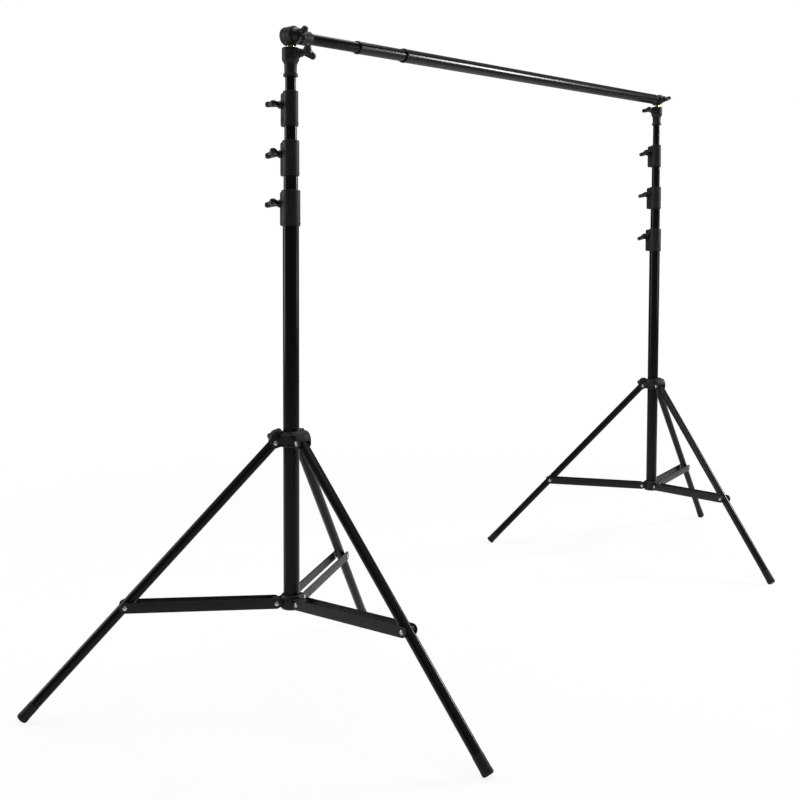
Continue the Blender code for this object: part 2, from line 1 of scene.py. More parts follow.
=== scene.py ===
"""Looks for the backdrop stand: two folding light stands that carry a three section telescopic crossbar.

Metres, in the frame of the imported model. Every piece is worked out in its own frame first, with its axis
along Z, and then put where the model's own joints and boxes say. Each point keeps its first coordinates
in the attribute "local", so that drawn tubes streak along their length whichever way they lie, and "wear"
says how sharply the surface turns there, so that finishes can thin on edges.
"""

import json
import math

import bmesh
import bpy
import numpy as np
from mathutils import Matrix, Vector


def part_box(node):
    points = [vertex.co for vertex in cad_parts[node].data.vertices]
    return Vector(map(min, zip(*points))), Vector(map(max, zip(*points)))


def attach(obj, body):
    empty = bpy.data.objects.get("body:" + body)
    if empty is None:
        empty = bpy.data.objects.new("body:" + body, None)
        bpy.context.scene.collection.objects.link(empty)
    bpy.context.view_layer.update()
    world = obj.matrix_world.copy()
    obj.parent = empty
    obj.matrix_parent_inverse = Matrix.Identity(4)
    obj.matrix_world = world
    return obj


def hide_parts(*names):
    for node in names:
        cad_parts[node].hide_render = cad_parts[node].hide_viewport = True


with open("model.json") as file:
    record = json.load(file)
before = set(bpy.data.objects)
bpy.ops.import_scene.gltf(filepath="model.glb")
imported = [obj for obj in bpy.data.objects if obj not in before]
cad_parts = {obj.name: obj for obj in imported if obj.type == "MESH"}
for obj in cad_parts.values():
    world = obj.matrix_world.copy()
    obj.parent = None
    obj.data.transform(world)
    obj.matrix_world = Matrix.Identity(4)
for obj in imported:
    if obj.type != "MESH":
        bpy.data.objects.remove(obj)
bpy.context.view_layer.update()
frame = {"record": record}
JOINTS = {joint["name"]: joint for joint in frame["record"]["behaviour"]["joints"]}

# Stands
LEFT_X = -0.942
RIGHT_X = 0.838
MAST_Y = 0.0486
STAND_TURNS = {"left": math.radians(143.9), "right": math.radians(125.1)}
STAND_X = {"left": LEFT_X, "right": RIGHT_X}

# Mast sections and lock collars. FIT is the play between a bore and what goes in it.
SECTION_RADII = (0.0175, 0.0155, 0.0135, 0.0115)
WALL = 0.0015
FIT = 0.0003
COLLAR_WALL = 0.0028
EAR_REACH = 0.016
EAR_HALF_WIDTH = 0.0075
SLIT_HALF_WIDTH = 0.0014
COLLAR_TURN = math.radians(72.7)
KNOB_HEIGHT_SHARE = 0.64
BOLT_HEIGHT_SHARE = 0.22
BOSS_HEIGHT = 0.003

# Wing knobs, with each one's turn about its own screw in degrees
KNOB_LENGTH = 0.0305
WING_REACH = 0.019
WING_THICKNESS = 0.0106
WING_EDGE = 0.0032
WING_END_RADIUS = 0.0072
WING_THINNING = 0.10
BRACKET_WING_REACH = 0.0165
BRACKET_HUB_LENGTH = 0.013
BRACKET_HUB_END = 0.0118
STUD_RADIUS = 0.0030
STUD_HOLE_RADIUS = 0.0034
KNOB_TURNS = {
    "left": {
        "lock_knob_1": 15, "lock_knob_2": 20, "lock_knob_3": 0,
        "socket_knob": 50, "bracket_knob": 75, "leg_collar_knob": 70,
    },
    "right": {
        "lock_knob_1": 25, "lock_knob_2": 15, "lock_knob_3": 20,
        "socket_knob": -80, "bracket_knob": 20, "leg_collar_knob": 70,
    },
}

# Tripods
LEG_ANGLE = math.radians(43.42)
LEG_LENGTH = 0.760
LEG_RADIUS = 0.011
LEG_PIVOT_RADIUS = 0.036
HUB_PIVOT_RADIUS = 0.035
HUB_PIVOT_HEIGHT = 0.2115
BRACE_PIN_DISTANCE = 0.4585
FOOT_RADIUS = 0.0120
FOOT_EDGE = 0.0025
FOOT_LENGTH = 0.040
LEG_PIVOT_HEIGHT = (FOOT_RADIUS - FOOT_EDGE) * math.sin(LEG_ANGLE) + LEG_LENGTH * math.cos(LEG_ANGLE)
CHEEK_INSIDE = LEG_RADIUS + 0.0006
CHEEK_OUTSIDE = CHEEK_INSIDE + 0.0048
STRAP_HALF_WIDTH = 0.011
STRAP_THICKNESS = 0.0025
STRAP_INSIDE = 0.0146
LUG_HALF_WIDTH = 0.0108
SPACER_RADIUS = 0.0062
LEG_PIVOT_ROUNDING = 0.0115
LEG_COLLAR_BOSS_END = 0.034

# Sockets, spigots, brackets and crossbar
SOCKET_RADIUS = 0.0185
NECK_RADIUS = 0.0132
RING_RADIUS = 0.0156
SOCKET_BOSS_END = 0.026
RING_TOP = 0.007
NECK_TOP = 0.029
CUP_BOTTOM = 0.035
SOCKET_TOP = 0.060
SOCKET_SCREW = (CUP_BOTTOM + SOCKET_TOP) / 2
SPIGOT_RADIUS = 0.008
SPIGOT_REACH = 0.0105
BARREL_RADII = (0.0195, 0.0162)
BARREL_FEET = (0.0200, 0.0180)
BARREL_HALF_WIDTH = 0.0155
BARREL_EDGE = 0.0030
TONGUE_RADIUS = 0.0130
TONGUE_HALF_WIDTH = 0.0064
BAR_RADII = (0.012, 0.014, 0.016)
BAR_LENGTH = 1.372
BAR_STARTS = (0.030, 0.213, 0.382)
BEAD_HEIGHT = 0.0009
MAST_SPACING = 1.780
LEFT_GAP = 0.030
RIGHT_GAP = 0.068
BAR_SLOPE = math.atan2(3 * (RIGHT_GAP - LEFT_GAP), MAST_SPACING)

# How much of the plain white surroundings each kind of ray sees
LIT_RAYS = {"Is Camera Ray": 1.0, "Is Glossy Ray": 0.05, "Is Transmission Ray": 1.0}

# The view: angles in degrees, lens and shift in pixels of a picture that is PICTURE_WIDTH wide
PICTURE_WIDTH = 800
CAMERA_PLACE = (-2.5909, -1.5608, 0.8865)
CAMERA_YAW = 51.517
CAMERA_DOWN = 2.849
CAMERA_ROLL = 0.183
LENS_PIXELS = 1069.5
SHIFT_PIXELS = -57.1
SENSOR_WIDTH = 36


def turn(degrees, axis):
    """A rotation about one of the axes."""
    return Matrix.Rotation(math.radians(degrees), 4, axis)


def shift(x=0.0, y=0.0, z=0.0):
    """A translation."""
    return Matrix.Translation((x, y, z))


def eased(points, reach, loop=False, steps=4):
    """Rounds the corners of a line of points. Each corner C becomes the parabola
    (1-t)^2 A + 2t(1-t) C + t^2 B, where A and B lie on its two sides, a distance `reach` from C."""
    points = np.asarray(points, float)
    before = np.roll(points, 1, axis=0) - points
    after = np.roll(points, -1, axis=0) - points
    long_before = np.linalg.norm(before, axis=1) + 1e-12
    long_after = np.linalg.norm(after, axis=1) + 1e-12
    cut = np.minimum(np.broadcast_to(reach, len(points)), 0.46 * np.minimum(long_before, long_after))
    if not loop:
        cut = np.concatenate([[0], cut[1:-1], [0]])
    first = points + before * (cut / long_before)[:, None]
    last = points + after * (cut / long_after)[:, None]
    t = np.linspace(0, 1, steps + 1)[None, :, None]
    curve = (1 - t) ** 2 * first[:, None] + 2 * t * (1 - t) * points[:, None] + t**2 * last[:, None]
    curve = curve.reshape(-1, points.shape[1])
    apart = np.linalg.norm(np.diff(curve, axis=0, prepend=curve[-1:] if loop else curve[:1] + 1), axis=1)
    return curve[apart > 1e-7]


def arc(x, z, radius, start, end, steps=12):
    """Points (x + r cos a, z + r sin a) for a from start to end, in degrees."""
    angles = np.radians(np.linspace(start, end, steps + 1))
    return np.stack([x + radius * np.cos(angles), z + radius * np.sin(angles)], axis=1)


def turning(line, loop):
    """How sharply a line turns at each of its points: 1 where it turns by 20 degrees or more."""
    ahead = np.roll(line, -1, axis=0) - line
    behind = line - np.roll(line, 1, axis=0)
    angle = np.abs(np.arctan2(ahead[:, 1], ahead[:, 0]) - np.arctan2(behind[:, 1], behind[:, 0]))
    angle = np.minimum(angle, 2 * math.pi - angle)
    if not loop:
        angle[[0, -1]] = 0
    return np.clip(angle / math.radians(20), 0, 1)


def woven(points, wear, loop_rows=False, loop_columns=False):
    """Joins a grid of points into four-sided faces, end to end where it loops. A shell is its points,
    its faces and each point's wear."""
    rows, columns = points.shape[:2]
    index = np.arange(rows * columns).reshape(rows, columns)
    if loop_rows:
        index = np.vstack([index, index[:1]])
    if loop_columns:
        index = np.hstack([index, index[:, :1]])
    faces = np.stack([index[:-1, :-1], index[:-1, 1:], index[1:, 1:], index[1:, :-1]], axis=-1)
    spread = np.broadcast_to(wear, (rows, columns)).ravel()
    return points.reshape(-1, 3), faces.reshape(-1, 4).tolist(), spread


def spun(profile, sides=48, loop=False, gap=0.0):
    """A profile of radius r and height z carried round the axis: each point is (r cos a, r sin a, z).
    With a gap, a runs only from gap to 2 pi - gap, and the two ends are closed."""
    profile = np.asarray(profile, float)
    angles = np.linspace(gap, 2 * math.pi - gap, sides) if gap else 2 * math.pi * np.arange(sides) / sides
    r, z = profile.T
    axes = [np.outer(r, np.cos(angles)), np.outer(r, np.sin(angles)), np.outer(z, np.ones(sides))]
    points = np.stack(axes, axis=-1)
    made, faces, wear = woven(points, turning(profile, loop)[:, None], loop, not gap)
    if gap:
        starts = np.arange(len(profile)) * sides
        faces += [starts.tolist(), (starts[::-1] + sides - 1).tolist()]
    return made, faces, wear


def slab(outline, low, high, edge=0.0008, steps=3):
    """A closed outline of x and z made thick along y. Near each face the outline moves inwards along its
    normals by edge (1 - sin t) as y moves by edge (1 - cos t), t from 0 to a right angle: a round rim."""
    outline = np.asarray(outline, float)
    x, z = outline.T
    way = np.sign(np.sum(x * np.roll(z, -1) - np.roll(x, -1) * z))
    along = np.roll(outline, -1, axis=0) - np.roll(outline, 1, axis=0)
    normal = way * np.stack([along[:, 1], -along[:, 0]], axis=1)
    normal /= np.linalg.norm(normal, axis=1)[:, None] + 1e-12
    t = np.linspace(0, math.pi / 2, steps + 1)
    inset = np.concatenate([1 - np.sin(t), 1 - np.sin(t[::-1])]) * edge
    y = np.concatenate([low + edge * (1 - np.cos(t)), high - edge * (1 - np.cos(t[::-1]))])
    rings = outline[None] - normal[None] * inset[:, None, None]
    points = np.stack([rings[..., 0], np.broadcast_to(y[:, None], rings.shape[:2]), rings[..., 1]], axis=-1)
    wear = np.concatenate([np.sin(2 * t), np.sin(2 * t[::-1])])[:, None]
    made, faces, wear = woven(points, wear, loop_columns=True)
    count = len(outline)
    last = (len(inset) - 1) * count
    faces += [list(range(count)), list(range(last + count - 1, last - 1, -1))]
    return made, faces, wear


def strap(length, half_width, thickness, bead=0.0011, stations=90, around=44):
    """A flat bar along x with round ends and a pressed stiffening bead. Its half width at x is h, which is
    the circle's at either end. Its section is the superellipse z = h c^0.16, y = thickness/2 s^0.16 for the
    cosine c and sine s of the way round. Both faces shift by bead (1 - (z/w)^2)^2 between the rivets, with
    w = 0.55 of the half width."""
    ends = half_width * (1 - np.cos(np.linspace(0, math.pi / 2, 16)))
    between = np.linspace(0, length, stations)[1:-1]
    x = np.concatenate([ends - half_width, between, length + half_width - ends[::-1]])
    over = np.maximum(np.maximum(-x, x - length), 0)
    h = np.sqrt(np.maximum(half_width**2 - over**2, 0))
    way = 2 * math.pi * np.arange(around) / around
    c, s = np.cos(way), np.sin(way)
    z = np.outer(h, np.sign(c) * np.abs(c) ** 0.16)
    y = np.outer(np.ones(len(x)), np.sign(s) * np.abs(s) ** 0.16) * thickness / 2
    fade = np.clip((x - 0.018) / 0.02, 0, 1) * np.clip((length - 0.020 - x) / 0.02, 0, 1)
    fade = fade * fade * (3 - 2 * fade)
    y = y + bead * fade[:, None] * np.clip(1 - (z / (half_width * 0.55)) ** 2, 0, 1) ** 2
    points = np.stack([np.broadcast_to(x[:, None], z.shape), y, z], axis=-1)
    rim = np.broadcast_to(np.clip(np.abs(c) ** 0.16 * np.abs(s) ** 0.16 * 1.2 - 0.75, 0, 1)[None], z.shape)
    return woven(points, rim, loop_columns=True)


def ringed(radius, bottom, top, pitch, depth):
    """Height and radius of a stud whose side zigzags by depth once in every pitch."""
    count = max(2, int(round((top - bottom) / pitch)) * 2)
    z = np.linspace(bottom, top, count + 1)
    r = radius - depth * (np.arange(count + 1) % 2)
    return np.stack([r, z], axis=1)


class Piece:
    """One object in the making. Shells are added with a finish and a place in the piece's own frame."""

    def __init__(self):
        self.points, self.local, self.faces, self.wear, self.marks, self.finishes = [], [], [], [], [], []
        self.count = 0

    def add(self, shell, finish, place=Matrix.Identity(4)):
        """Adds a shell, and keeps its coordinates from before it was put in place."""
        points, faces, wear = shell
        if finish not in self.finishes:
            self.finishes.append(finish)
        matrix = np.array(place)
        self.points.append(points @ matrix[:3, :3].T + matrix[:3, 3])
        self.local.append(points)
        self.wear.append(wear)
        self.faces += [[corner + self.count for corner in face] for face in faces]
        self.marks += [self.finishes.index(finish)] * len(faces)
        self.count += len(points)

    def mesh(self):
        """The shells as one mesh: coincident points merged, faces turned outwards, smooth between edges."""
        mesh = bpy.data.meshes.new("piece")
        mesh.from_pydata(np.concatenate(self.points), [], self.faces)
        kept = mesh.attributes.new("local", "FLOAT_VECTOR", "POINT")
        kept.data.foreach_set("vector", np.concatenate(self.local).astype(np.float32).ravel())
        worn = mesh.attributes.new("wear", "FLOAT", "POINT")
        worn.data.foreach_set("value", np.concatenate(self.wear).astype(np.float32))
        mesh.polygons.foreach_set("material_index", np.array(self.marks, np.int32))
        work = bmesh.new()
        work.from_mesh(mesh)
        bmesh.ops.remove_doubles(work, verts=work.verts, dist=2e-6)
        bmesh.ops.dissolve_degenerate(work, edges=work.edges, dist=1e-7)
        bmesh.ops.recalc_face_normals(work, faces=work.faces)
        work.to_mesh(mesh)
        work.free()
        for finish in self.finishes:
            mesh.materials.append(FINISHES[finish])
        mesh.shade_smooth()
        mesh.set_sharp_from_angle(angle=math.radians(32))
        return mesh


def stand_in(name, piece, place, body, slot, *nodes):
    """Puts a piece, or a copy of its mesh, in the scene for CAD nodes, with its place in its mesh."""
    mesh = piece.mesh() if isinstance(piece, Piece) else piece.copy()
    mesh.transform(place)
    mesh.name = name
    made = bpy.data.objects.new(name, mesh)
    bpy.context.scene.collection.objects.link(made)
    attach(made, body)
    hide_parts(*nodes)


class Signal:
    """A value that a shader node gives. Sums, differences and products of signals add Math nodes."""

    def __init__(self, finish, socket):
        self.finish = finish
        self.socket = socket

    def of(self, operation, *values):
        """The result of a Math node."""
        inputs = dict(enumerate(values))
        return self.finish.node("ShaderNodeMath", {"operation": operation}, inputs)

    def __add__(self, other):
        return self.of("ADD", self, other)

    def __sub__(self, other):
        return self.of("SUBTRACT", self, other)

    def __rsub__(self, other):
        return self.of("SUBTRACT", other, self)

    def __mul__(self, other):
        return self.of("MULTIPLY", self, other)

    def above(self, low, high):
        """0 below low and 1 above high, with a smooth rise between them."""
        inputs = {"Value": self, "From Min": low, "From Max": high}
        return self.finish.node("ShaderNodeMapRange", {"interpolation_type": "SMOOTHSTEP"}, inputs)

    __radd__ = __add__
    __rmul__ = __mul__


class Finish:
    """A procedural material for one of the stand's own finishes."""

    def __init__(self, name):
        self.material = bpy.data.materials.new(name)
        self.material.use_nodes = True
        self.tree = self.material.node_tree
        self.shader = self.tree.nodes["Principled BSDF"]

    def node(self, kind, settings=None, inputs=None, output=0):
        """A new node with its settings and inputs, as the signal of one of its outputs."""
        made = self.tree.nodes.new(kind)
        for name, value in (settings or {}).items():
            setattr(made, name, value)
        for name, value in (inputs or {}).items():
            self.feed(made.inputs[name], value)
        return Signal(self, made.outputs[output])

    def feed(self, socket, value):
        """Links a signal to a socket, or sets a plain value on it."""
        if isinstance(value, Signal):
            self.tree.links.new(value.socket, socket)
        else:
            socket.default_value = value

    def local(self, stretch):
        """The piece's own coordinates, multiplied by a stretch along each of its axes."""
        place = self.node("ShaderNodeAttribute", {"attribute_name": "local"}, output="Vector")
        return self.node("ShaderNodeVectorMath", {"operation": "MULTIPLY"}, {0: place, 1: stretch})

    def world(self, stretch):
        """The object's coordinates, multiplied by a stretch along each axis."""
        place = self.node("ShaderNodeTexCoord", output="Object")
        return self.node("ShaderNodeVectorMath", {"operation": "MULTIPLY"}, {0: place, 1: stretch})

    def noise(self, vector, detail=2.0, roughness=0.5):
        """Noise over coordinates that are already stretched to its scale."""
        inputs = {"Vector": vector, "Scale": 1.0, "Detail": detail, "Roughness": roughness}
        return self.node("ShaderNodeTexNoise", {"noise_dimensions": "3D"}, inputs)

    def edges(self):
        """How sharply the surface turns, 0 to 1."""
        return self.node("ShaderNodeAttribute", {"attribute_name": "wear"}, output="Fac")

    def mixed(self, share, first, second):
        """A colour between two colours, the first of which may be another node's."""
        start = first if isinstance(first, Signal) else (*first, 1)
        return self.node("ShaderNodeMix", {"data_type": "RGBA"}, {0: share, 6: start, 7: (*second, 1)}, 2)

    def bumped(self, height, distance, strength=1.0):
        """Raises the surface by a height, seen only in its shading."""
        inputs = {"Height": height, "Distance": distance, "Strength": strength}
        normal = self.node("ShaderNodeBump", None, inputs)
        self.feed(self.shader.inputs["Normal"], normal)

    def surface(self, colour, roughness, metallic=0.0, **plain):
        """Feeds the shader and sets its plain values. Gives the finished material."""
        self.feed(self.shader.inputs["Base Color"], colour)
        self.feed(self.shader.inputs["Roughness"], roughness)
        self.feed(self.shader.inputs["Metallic"], metallic)
        for name, value in plain.items():
            self.shader.inputs[name.replace("_", " ")].default_value = value
        return self.material


def drawn_tube():
    """Satin black anodised tube: fine draw lines along it, a slow drift in tone, and a few rub marks."""
    finish = Finish("satin black drawn tube")
    lines = finish.noise(finish.local((1500, 1500, 5)), 3)
    drift = finish.noise(finish.local((18, 18, 4)), 2)
    rubs = finish.noise(finish.local((300, 300, 34)), 4, 0.65).above(0.62, 0.74)
    sheen = finish.mixed(lines * 0.6 + drift * 0.4, (0.0026, 0.0024, 0.0023), (0.0076, 0.0068, 0.0062))
    colour = finish.mixed(rubs * drift * 0.7, sheen, (0.015, 0.0135, 0.0125))
    finish.bumped(lines, 0.00002)
    rough = 0.15 + lines * 0.07 + drift * 0.05 + rubs * 0.05
    return finish.surface(colour, rough, Specular_IOR_Level=0.13)


def powder_coat():
    """Black powder coat on cast metal: a fine pebble, thinner and a little paler on the edges."""
    finish = Finish("black powder coat")
    pebble = finish.noise(finish.world((2600, 2600, 2600)), 2)
    cloud = finish.noise(finish.world((45, 45, 45)), 3)
    worn = finish.edges() * cloud.above(0.52, 0.70)
    tone = finish.mixed(cloud, (0.0048, 0.0048, 0.0044), (0.0090, 0.0090, 0.0082))
    colour = finish.mixed(worn * 0.5, tone, (0.038, 0.038, 0.036))
    finish.bumped(pebble, 0.00005, 0.6)
    return finish.surface(colour, 0.46 + cloud * 0.12 - worn * 0.10, Specular_IOR_Level=0.24)


def strap_paint():
    """Black paint on pressed steel straps: faint rolling lines, chips of paler primer on the rims."""
    finish = Finish("black paint on steel strap")
    lines = finish.noise(finish.local((5, 900, 900)), 3)
    cloud = finish.noise(finish.local((30, 60, 60)), 3)
    chips = finish.edges() * finish.noise(finish.local((260, 260, 260)), 3).above(0.60, 0.66)
    tone = finish.mixed(lines * 0.5 + cloud * 0.5, (0.0042, 0.0042, 0.0040), (0.0110, 0.0108, 0.0100))
    colour = finish.mixed(chips, tone, (0.075, 0.072, 0.068))
    finish.bumped(lines * 0.4 + cloud * 0.6, 0.00003)
    return finish.surface(colour, 0.34 + cloud * 0.12 + chips * 0.2, Specular_IOR_Level=0.22)


def moulded():
    """Black moulded plastic of the wing knobs: a fine spark grain, polished where fingers hold it."""
    finish = Finish("black moulded plastic")
    grain = finish.noise(finish.local((1700, 1700, 1700)), 2)
    cloud = finish.noise(finish.local((140, 140, 140)), 2)
    handled = finish.edges() * 0.6 + cloud * 0.4
    tone = finish.mixed(cloud, (0.0040, 0.0040, 0.0040), (0.0080, 0.0080, 0.0078))
    finish.bumped(grain, 0.00004, 0.5)
    return finish.surface(tone, 0.42 - handled * 0.14, Specular_IOR_Level=0.28)


def rubber():
    """Black rubber of the feet: dull, speckled, and dusty towards the floor."""
    finish = Finish("black rubber")
    speckle = finish.noise(finish.world((900, 900, 900)), 3)
    dust = finish.noise(finish.world((120, 120, 120)), 3).above(0.5, 0.75)
    height = finish.node("ShaderNodeSeparateXYZ", None, {0: finish.world((1, 1, 1))}, "Z")
    low = 1 - height.above(0.002, 0.020)
    tone = finish.mixed(speckle, (0.0042, 0.0042, 0.0042), (0.0085, 0.0085, 0.0082))
    colour = finish.mixed(dust * 0.20 + low * dust * 0.5, tone, (0.036, 0.034, 0.032))
    finish.bumped(speckle, 0.00005, 0.5)
    return finish.surface(colour, 0.50 + speckle * 0.14, Specular_IOR_Level=0.20)


def brass():
    """Turned brass of the spigots: rings from the tool and a brown bloom of tarnish."""
    finish = Finish("turned brass")
    rings = finish.noise(finish.local((8, 8, 3800)), 2)
    bloom = finish.noise(finish.local((180, 180, 180)), 4).above(0.42, 0.70)
    colour = finish.mixed(bloom, (0.62, 0.47, 0.21), (0.28, 0.20, 0.09))
    finish.bumped(rings, 0.00003)
    return finish.surface(colour, 0.24 + bloom * 0.20 + rings * 0.08, 1.0)


def zinc():
    """Zinc plated rivets, washers and spacers: pale grey with a slightly mottled plating."""
    finish = Finish("zinc plated steel")
    mottle = finish.noise(finish.local((420, 420, 420)), 3)
    colour = finish.mixed(mottle, (0.36, 0.36, 0.35), (0.56, 0.56, 0.55))
    finish.bumped(mottle, 0.00004)
    return finish.surface(colour, 0.26 + mottle * 0.16, 1.0)


def black_steel():
    """Blackened steel of the fixed screws and nuts."""
    finish = Finish("blackened steel")
    mottle = finish.noise(finish.local((500, 500, 500)), 3)
    colour = finish.mixed(mottle, (0.020, 0.020, 0.021), (0.045, 0.045, 0.046))
    finish.bumped(mottle, 0.00003)
    return finish.surface(colour, 0.30 + mottle * 0.15, 0.7, Specular_IOR_Level=0.4)


FINISHES = {
    "tube": drawn_tube(),
    "casting": powder_coat(),
    "strap": strap_paint(),
    "knob": moulded(),
    "foot": rubber(),
    "spigot": brass(),
    "zinc": zinc(),
    "screw": black_steel(),
}


def tube_shell(radius, bore, bottom, top, sides=64, bead=0.0):
    """An open tube with softened rims, and with a bead rolled round its lower end if asked."""
    line = [(bore, top), (bore, bottom), (radius, bottom)]
    if bead:
        line += [(radius, bottom + 0.0004), (radius + bead, bottom + 0.0014)]
        line += [(radius + bead, bottom + 0.0076), (radius, bottom + 0.0090)]
    line += [(radius, top)]
    return spun(eased(line, 0.0005, loop=True, steps=3), sides, loop=True)


def disc(radius, low, high, edge, sides=32):
    """A short round block with eased rims: a washer, a ring or a spacer."""
    return spun(eased([(0, low), (radius, low), (radius, high), (0, high)], edge), sides)


def shank(half_length):
    """The plain pin of a rivet, to either side of the middle."""
    line = [(0, -half_length), (STUD_RADIUS, -half_length), (STUD_RADIUS, half_length), (0, half_length)]
    return spun(line, 20)


def domed_head(radius, height, foot=0.0):
    """A rivet's head, a low dome on its foot."""
    dome = arc(0, 0, 1, 90, 0, 8) * (radius, height)
    return spun(np.vstack([dome + (0, foot), [(radius, foot - 0.0006), (0, foot - 0.0006)]]), 28)


def hexagon(across, low, high):
    """A six-sided nut with its corners turned off."""
    corner = across / math.sqrt(3)
    turned = corner * 0.92
    line = [(0, low), (turned, low), (corner, low + 0.0004)]
    line += [(corner, high - 0.0004), (turned, high), (0, high)]
    return spun(line, 6)


def add_wings(piece, reach, root):
    """Two wings that leave the hub at the root's height. Each ends in a round lobe, thinned towards its tip
    by WING_THINNING of the square of its share of the reach, and has three grip ribs on either face."""
    lobe_x = reach - WING_END_RADIUS
    lobe_z = KNOB_LENGTH - WING_END_RADIUS
    lobe = arc(lobe_x, lobe_z, WING_END_RADIUS, -55, 125, 18)
    half = np.vstack([[(0.0040, root)], lobe, [(0.0034, KNOB_LENGTH * 0.86)]])
    outline = eased(np.vstack([half, half[::-1] * (-1, 1)]), 0.0030, loop=True, steps=3)
    points, faces, wear = slab(outline, -WING_THICKNESS / 2, WING_THICKNESS / 2, WING_EDGE, 6)
    points[:, 1] *= 1.0 - WING_THINNING * (np.abs(points[:, 0]) / reach) ** 2
    piece.add((points, faces, wear), "knob")
    capsule = eased([(0, -0.0036), (0.0006, -0.0036), (0.0006, 0.0036), (0, 0.0036)], 0.0006)
    for side in (-1, 1):
        for face in (-1, 1):
            for rib in range(3):
                x = lobe_x + 0.0028 * (rib - 1)
                skin = face * WING_THICKNESS / 2 * (1.0 - WING_THINNING * (x / reach) ** 2)
                place = shift(side * x, skin, lobe_z + 0.0010 * rib) @ turn(-side * 30, "Y")
                piece.add(spun(capsule, 10), "knob", place)


def add_stud(piece, length):
    """The threaded stud of a knob, down from its foot."""
    thread = ringed(STUD_RADIUS, -length, 0.001, 0.001, 0.0004)
    piece.add(spun(np.vstack([[(0, -length)], thread, [(0, 0.001)]]), 24), "screw")


def wing_knob(stud_length):
    """Spun hub on a threaded stud, and two wings with round ends. It points along +Z. The hub's heights are
    shares of the knob's length."""
    piece = Piece()
    line = [(0, 0.77), (0.0050, 0.76), (0.0062, 0.66), (0.0060, 0.30)]
    line += [(0.0074, 0.14), (0.0088, 0.09), (0.0088, 0), (0, 0)]
    piece.add(spun(eased(np.array(line) * (1, KNOB_LENGTH), 0.0012), 36), "knob")
    add_wings(piece, WING_REACH, KNOB_LENGTH * 0.16)
    add_stud(piece, stud_length)
    return piece


def bracket_knob(stud_length, foot):
    """Broad conical hub with a step round its foot, two shorter wings beyond it, and a threaded stud."""
    end = BRACKET_HUB_END * foot / (BARREL_RADII[0] - BARREL_EDGE)
    line = [(0, 0.0235), (0.0050, 0.0232), (0.0060, 0.0210)]
    line += [(0.0062, BRACKET_HUB_LENGTH + 0.0022), (end, BRACKET_HUB_LENGTH)]
    line += [(foot - 0.0012, 0.0034), (foot, 0.0030), (foot, 0.0008), (foot - 0.0008, 0), (0, 0)]
    piece = Piece()
    piece.add(spun(eased(line, 0.0011), 56), "knob")
    add_wings(piece, BRACKET_WING_REACH, BRACKET_HUB_LENGTH - 0.0020)
    add_stud(piece, stud_length)
    return piece


def lock_collar(stage):
    """Split sleeve with two flat ears on +X, the boss under the wing knob, and a fixed screw below it. The
    screw and the knob's stud each end in a nut on the far ear."""
    low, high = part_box(f"left_lock_collar_{stage + 1}")
    height = high.z - low.z
    outside = SECTION_RADII[stage] + COLLAR_WALL
    grip = SECTION_RADII[stage] + FIT
    guide = SECTION_RADII[stage + 1] + FIT
    line = [(guide, height - 0.009), (grip, height - 0.010), (grip, 0)]
    line += [(outside, 0), (outside, height), (guide, height)]
    piece = Piece()
    sleeve = eased(line, (0.0003, 0.0003, 0.0005, 0.0010, 0.0028, 0.0008), loop=True, steps=5)
    piece.add(spun(sleeve, 88, loop=True, gap=SLIT_HALF_WIDTH / outside), "casting")
    ear_start, ear_end = grip + 0.0004, outside + EAR_REACH
    box = [(ear_start, 0.001), (ear_end, 0.001), (ear_end, height - 0.001), (ear_start, height - 0.001)]
    outline = eased(box, (0.0002, 0.0065, 0.0065, 0.0002), loop=True, steps=8)
    knob_x = outside + EAR_REACH * 0.48
    knob_z = height * KNOB_HEIGHT_SHARE
    bolt_z = height * BOLT_HEIGHT_SHARE
    for side in (-1, 1):
        edges = sorted((side * SLIT_HALF_WIDTH, side * EAR_HALF_WIDTH))
        piece.add(slab(outline, *edges, edge=0.0013, steps=4), "casting")
    face = EAR_HALF_WIDTH
    out = turn(-90, "X")
    line = [(0, -0.001), (0.0094, -0.001), (0.0094, 0.0004), (0.0086, BOSS_HEIGHT)]
    line += [(0.0036, BOSS_HEIGHT), (0.0036, 0.001), (0, 0.001)]
    piece.add(spun(eased(line, 0.0006), 40), "casting", shift(knob_x, face, knob_z) @ out)
    ring = eased([(0, -0.001), (0.0058, -0.001), (0.0058, 0.0006), (0.0052, 0.0012), (0, 0.0012)], 0.0004)
    piece.add(spun(ring, 32), "casting", shift(knob_x, face, bolt_z) @ out)
    piece.add(domed_head(0.0046, 0.0019, 0.0012), "screw", shift(knob_x, face, bolt_z) @ out)
    back = turn(90, "X")
    piece.add(hexagon(0.0104, -0.0005, 0.0033), "screw", shift(knob_x, -face, knob_z) @ back)
    piece.add(hexagon(0.0078, -0.0005, 0.0027), "screw", shift(knob_x, -face, bolt_z) @ back)
    root, crest = outside - 0.001, outside + 0.0007
    low_rib = eased([(root, 0.0040), (crest, 0.0046), (crest, 0.0072), (root, 0.0078)], 0.0005, loop=True)
    piece.add(spun(low_rib, 88, loop=True, gap=0.42), "casting")
    return piece


